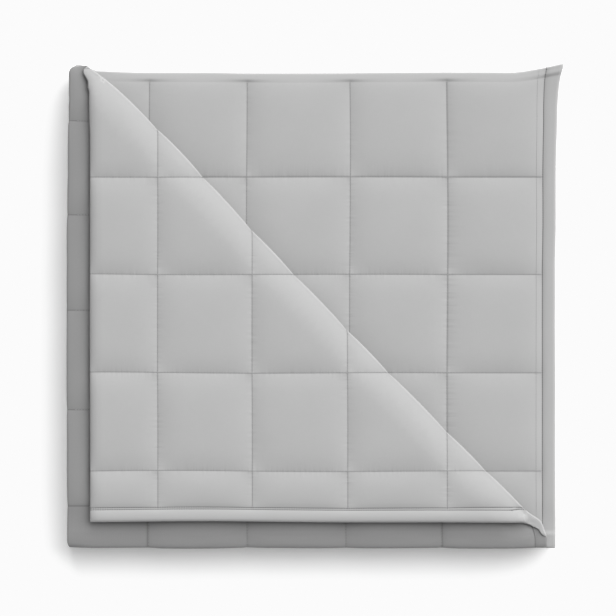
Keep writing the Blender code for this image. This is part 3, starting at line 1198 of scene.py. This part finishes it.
@dataclass
class Stitching:
    """Sewing thread along the seams that show."""

    name: str
    quilt: FoldedQuilt
    runs: list[SeamRun]
    pitch: float = 0.0036
    length: float = 0.0029
    radius: float = 0.00030
    lift: float = 0.00012
    droop: float = 0.35  # of a stitch's ends, in its radii
    seed: int = 3
    swing: float = 0.05  # how much stitches turn to and fro
    samples: int = 4000  # points at which a run is measured
    hem_end: float = 0.02  # a seam this close to the lower hem's runs to the end of it
    past_flap: float = 0.004  # how far the strips of the outer face run on under the flap
    under_turn: float = 0.010  # the flap's stitches start this far past the start of the roll
    by_turn: float = 0.008  # and those of the layer below this far before the crest

    def one_stitch(self) -> tuple[Array, Array]:
        """Models one stitch, along +X with +Z away from the cloth.

        Returns:
            Its points and its triangles.
        """
        bpy.ops.object.select_all(action="DESELECT")
        bpy.ops.mesh.primitive_uv_sphere_add(segments=6, ring_count=5, radius=1.0)
        stitch = bpy.context.object
        with whole_mesh():
            bpy.ops.transform.rotate(value=math.pi / 2, orient_axis="Y", center_override=(0, 0, 0))
            bpy.ops.transform.resize(value=(self.length / 2, self.radius, self.radius))
            bpy.ops.mesh.quads_convert_to_tris()
        points = np.array([vertex.co for vertex in stitch.data.vertices])
        points[:, 2] -= self.droop * self.radius * (points[:, 0] / (self.length / 2)) ** 2
        triangles = np.array([face.vertices for face in stitch.data.polygons])
        bpy.data.meshes.remove(stitch.data)
        return points, triangles

    def line(self, run: SeamRun) -> tuple[Array, Array]:
        """The row and column numbers of points close together along a seam.

        Args:
            run: the seam.

        Returns:
            Row numbers and column numbers.
        """
        quilt = self.quilt
        columns, rows = np.flatnonzero(quilt.layer == run.layer.value), np.flatnonzero(quilt.third > 1)
        down_cloth = run.across is not None
        if down_cloth:
            places, numbers, seam, along = quilt.across.place[columns], columns, run.across, rows
        else:
            path = quilt.upper if run.layer is Layer.UPPER else quilt.lower
            places, numbers, seam, along = path.place[rows], rows, run.down, columns
        order = np.argsort(places)
        number = np.interp(seam, places[order], numbers[order].astype(float))
        fine = np.linspace(along[0], along[-1], self.samples)
        same = np.full(len(fine), number)
        return (fine, same) if down_cloth else (same, fine)

    def shows(self, run: SeamRun, flat: Array) -> Array:
        """Which points of the flat pack can be seen once the corner is turned.

        Args:
            run: the seam that they lie on.
            flat: the points.

        Returns:
            True for each that shows.
        """
        quilt, corner = self.quilt, self.quilt.corner
        x, y, _ = flat.T
        along, out = diagonal(x, y)
        crest = corner.crest_at(along)
        if run.down is not None:
            ends = quilt.upper_across if run.layer is Layer.UPPER else quilt.lower_across
            out = np.where(x < ends[1], out, math.nan)
        elif run.layer is Layer.LOWER and run.across < quilt.lower_across[1] - self.hem_end:
            out = np.where(y < quilt.lower_down[1], out, math.nan)
        if run.face is Face.OUTER:
            near_strip = y < corner.up - quilt.upper_across[0] + self.past_flap
            left_strip = x < corner.across - quilt.upper_down[0] + self.past_flap
            return (near_strip | left_strip) & (out < crest + corner.start)
        if run.layer is Layer.UPPER:
            return out > crest + corner.start + self.under_turn
        return out > crest - self.by_turn

    def place(self, run: SeamRun) -> tuple[Array, ...]:
        """Finds where the stitches of a run lie.

        Args:
            run: the seam.

        Returns:
            The stitches' middles, and the directions along them, across them and away from the cloth.
        """
        quilt = self.quilt
        rows, columns = self.line(run)
        flat = quilt.points_on(run.face, rows, columns)
        steps = np.concatenate(([0], np.cumsum(np.linalg.norm(np.diff(flat, axis=0), axis=1))))
        at = (np.arange(int(steps[-1] / self.pitch)) + 0.5) * self.pitch
        rows, columns = np.interp(at, steps, rows), np.interp(at, steps, columns)
        inside = self.shows(run, quilt.points_on(run.face, rows, columns))
        rows, columns = rows[inside], columns[inside]
        if not len(rows):
            return tuple(np.zeros((0, 3)) for _ in range(4))

        def settled(face: Face, ahead: float = 0.0, aside: float = 0.0) -> Array:
            """The final places of points ahead of the stitches and to their side, in rows and columns."""
            down, across = (aside, ahead) if run.across is None else (ahead, aside)
            return quilt.settle(quilt.points_on(face, rows + down, columns + across))

        middle = settled(run.face)
        along = settled(run.face, 0.2) - settled(run.face, -0.2)
        across = settled(run.face, 0, 1.0) - settled(run.face, 0, -1.0)
        through = middle - settled(Face(-run.face.value))
        along /= np.linalg.norm(along, axis=1)[:, None]
        away = np.cross(along, across)
        away /= np.linalg.norm(away, axis=1)[:, None]
        away *= np.sign(np.einsum("ij,ij->i", away, through))[:, None]
        across = np.cross(away, along)
        return middle, along, across * run.thick, away * run.thick

    def build(self, finish: Material, shift: Array) -> Object:
        """Lays a copy of the stitch at each place of each run, as one piece.

        Args:
            finish: the thread's material.
            shift: from the flat pack's frame to the part's.

        Returns:
            The finished piece.
        """
        points, triangles = self.one_stitch()
        placed = zip(*(self.place(run) for run in self.runs))
        middle, along, across, away = (np.concatenate(part)[:, None] for part in placed)
        count = len(middle)
        sway = np.random.default_rng(self.seed).normal(0, self.swing, count)[:, None, None]
        along = along + across * sway
        laid = middle + away * self.lift
        for axis, direction in enumerate((along, across, away)):
            laid = laid + points[None, :, axis : axis + 1] * direction
        faces = (triangles[None] + len(points) * np.arange(count)[:, None, None]).reshape(-1, 3)
        mesh = bpy.data.meshes.new(self.name)
        mesh.from_pydata((laid + shift).reshape(-1, 3).tolist(), [], faces.tolist())
        mesh.materials.append(finish)
        thread = bpy.data.objects.new(self.name, mesh)
        bpy.context.collection.objects.link(thread)
        select_only(thread)
        with whole_mesh():
            bpy.ops.mesh.normals_make_consistent(inside=False)
        bpy.ops.object.shade_smooth()
        log.info("%s: %d stitches", self.name, count)
        return thread


@dataclass
class Blanket:
    """The dressed blanket: the folded quilt and its stitching."""

    outer: ClothFinish = ClothFinish("outer_cloth", grey=0.222, spread=0.05)
    inner: ClothFinish = ClothFinish("inner_cloth", grey=0.366, spread=0.04)
    # The threads are darker than the inner cloth: partly their own colour, partly painted shade of the grooves
    # their stitches sink into; the hem thread is nearly black for that painted shade.
    thread: ThreadFinish = ThreadFinish("quilting_thread", grey=0.27)
    hem_thread: ThreadFinish = ThreadFinish("hem_thread", grey=0.06)
    hem_fold: float = 0.0063  # from the hem's stitches to the faint line where its cloth ends
    under_gap: float = 0.00025  # between the pack's flat underside and the floor, taken off its height
    quilt: FoldedQuilt = field(default_factory=FoldedQuilt)

    def quilting_runs(self) -> list[SeamRun]:
        """The seams of the squares that show.

        Returns:
            Their runs of stitches.
        """
        quilt = self.quilt
        both = Face.INNER, Face.OUTER
        fold = quilt.lower_across[1] - self.hem_fold
        return [
            *(SeamRun(Face.INNER, Layer.UPPER, across=place) for place in quilt.upper_across[2:-1]),
            *(SeamRun(Face.OUTER, Layer.UPPER, across=place) for place in quilt.upper_across[3:]),
            *(SeamRun(face, Layer.UPPER, down=place) for place in quilt.upper_down[1:] for face in both),
            *(SeamRun(Face.INNER, Layer.LOWER, across=place) for place in (*quilt.lower_across[2:], fold)),
            *(SeamRun(Face.INNER, Layer.LOWER, down=place) for place in quilt.lower_down[2:]),
        ]

    def hem_runs(self) -> list[SeamRun]:
        """The lines of stitches along the hems that show.

        Returns:
            Their runs.
        """
        hem, lower_hem, twin = self.quilt.upper_across[1], self.quilt.lower_across[1], self.quilt.relief.twin
        return [
            *(SeamRun(Face.INNER, Layer.UPPER, across=hem + side * twin) for side in (-1, 1)),
            SeamRun(Face.OUTER, Layer.UPPER, across=hem),
            SeamRun(Face.INNER, Layer.LOWER, across=lower_hem + twin, thick=1.3),
        ]

    def build(self, effects: SharedEffects) -> list[Object]:
        """Builds and dresses the pieces and sets them on the frame.

        Args:
            effects: the shared shader groups.

        Returns:
            The pieces.
        """
        low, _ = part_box("blanket")
        quilt = self.quilt
        shift = np.array((low.x - quilt.left, low.y - quilt.bottom, -self.under_gap))
        cloth = quilt.build(self.outer.material(effects), self.inner.material(effects), shift)
        hems = Stitching("hem_thread", quilt, self.hem_runs(), pitch=0.0030, length=0.0027, radius=0.00036)
        pieces = [
            Stitching("quilting_thread", quilt, self.quilting_runs()).build(self.thread.material(effects), shift),
            hems.build(self.hem_thread.material(effects), shift),
        ]
        for piece in (cloth, *pieces):
            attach(piece, "root")
        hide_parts("blanket")
        return [cloth, *pieces]


@dataclass
class Setting:
    """A plain pale floor, soft light from the far right, and a camera straight above."""

    floor_size: float = 24.0
    floor_grey: float = 0.96
    floor_glow: float = 0.13
    light_from: tuple[float, float] = (56.0, 39.0)  # bearing and height, in degrees
    light_width: float = 80.0
    light_strength: float = 4.45
    sky: float = 0.40
    paper_white: float = 0.965  # what the brightest floor comes out as
    knee: float = 0.93  # up to here tones stay as they are
    camera_height: float = 9.0
    sensor_width: float = 36.0  # in millimetres
    view_width: float = 0.7737
    view_middle: tuple[float, float] = (-0.00795, -0.0018)
    view_level: float = 0.045

    def floor(self) -> Object:
        """Lays the floor.

        Returns:
            The floor.
        """
        bpy.ops.object.select_all(action="DESELECT")
        bpy.ops.mesh.primitive_plane_add(size=self.floor_size)
        floor = bpy.context.object
        floor.name = "floor"
        grey, white = (*[self.floor_grey] * 3, 1), (1, 1, 1, 1)
        finish, nodes, shader = start_material("pale_floor", Base_Color=grey, Emission_Color=white)
        nodes.feed(shader, Roughness=0.9, Specular_IOR_Level=0.1, Emission_Strength=self.floor_glow)
        floor.data.materials.append(finish)
        return floor

    def lights(self) -> None:
        """Hangs one wide soft light and an even sky."""
        bearing, height = (math.radians(angle) for angle in self.light_from)
        lamp = bpy.data.lights.new("wide_window", "SUN")
        lamp.angle = math.radians(self.light_width)
        lamp.energy = self.light_strength
        sun = bpy.data.objects.new("wide_window", lamp)
        flat = math.cos(height)
        towards = Vector((flat * math.cos(bearing), flat * math.sin(bearing), math.sin(height)))
        sun.rotation_euler = towards.to_track_quat("Z", "Y").to_euler()
        sun.location = towards * 3
        bpy.context.collection.objects.link(sun)
        world = bpy.data.worlds.new("even_sky")
        bpy.context.scene.world = world
        world.use_nodes = True
        sky = world.node_tree.nodes["Background"]
        sky.inputs["Color"].default_value = (1, 1, 1, 1)
        sky.inputs["Strength"].default_value = self.sky

    def camera(self) -> None:
        """Sets the camera straight above the pack."""
        data = bpy.data.cameras.new("above")
        data.sensor_width = self.sensor_width
        data.lens = self.sensor_width * self.camera_height / self.view_width
        data.clip_end = 100
        camera = bpy.data.objects.new("above", data)
        camera.location = (*self.view_middle, self.view_level + self.camera_height)
        bpy.context.collection.objects.link(camera)
        bpy.context.scene.camera = camera

    def build(self) -> None:
        """Builds the whole setting."""
        self.floor()
        self.lights()
        self.camera()
        view = bpy.context.scene.view_settings
        view.view_transform = "Standard"
        view.look = "None"
        view.use_curve_mapping = True
        curve = view.curve_mapping
        points = curve.curves[3].points
        points[0].location, points[-1].location = (0.0, 0.0), (1.0, self.paper_white)
        knee = points.new(self.knee, self.knee)
        for point in (points[0], knee, points[-1]):
            point.handle_type = "VECTOR"
        curve.extend = "HORIZONTAL"
        curve.update()


def main() -> None:
    """Builds the setting and the blanket and reports each piece."""
    logging.basicConfig(level=logging.INFO, format="%(name)s: %(message)s")
    bpy.ops.object.select_all(action="DESELECT")
    Setting().build()
    log.info("setting: floor, light and camera")
    for piece in Blanket().build(SharedEffects.build()):
        mesh = piece.data
        mesh.calc_loop_triangles()
        log.info("%s: %d points, %d triangles", piece.name, len(mesh.vertices), len(mesh.loop_triangles))


if __name__ == "__main__":
    main()
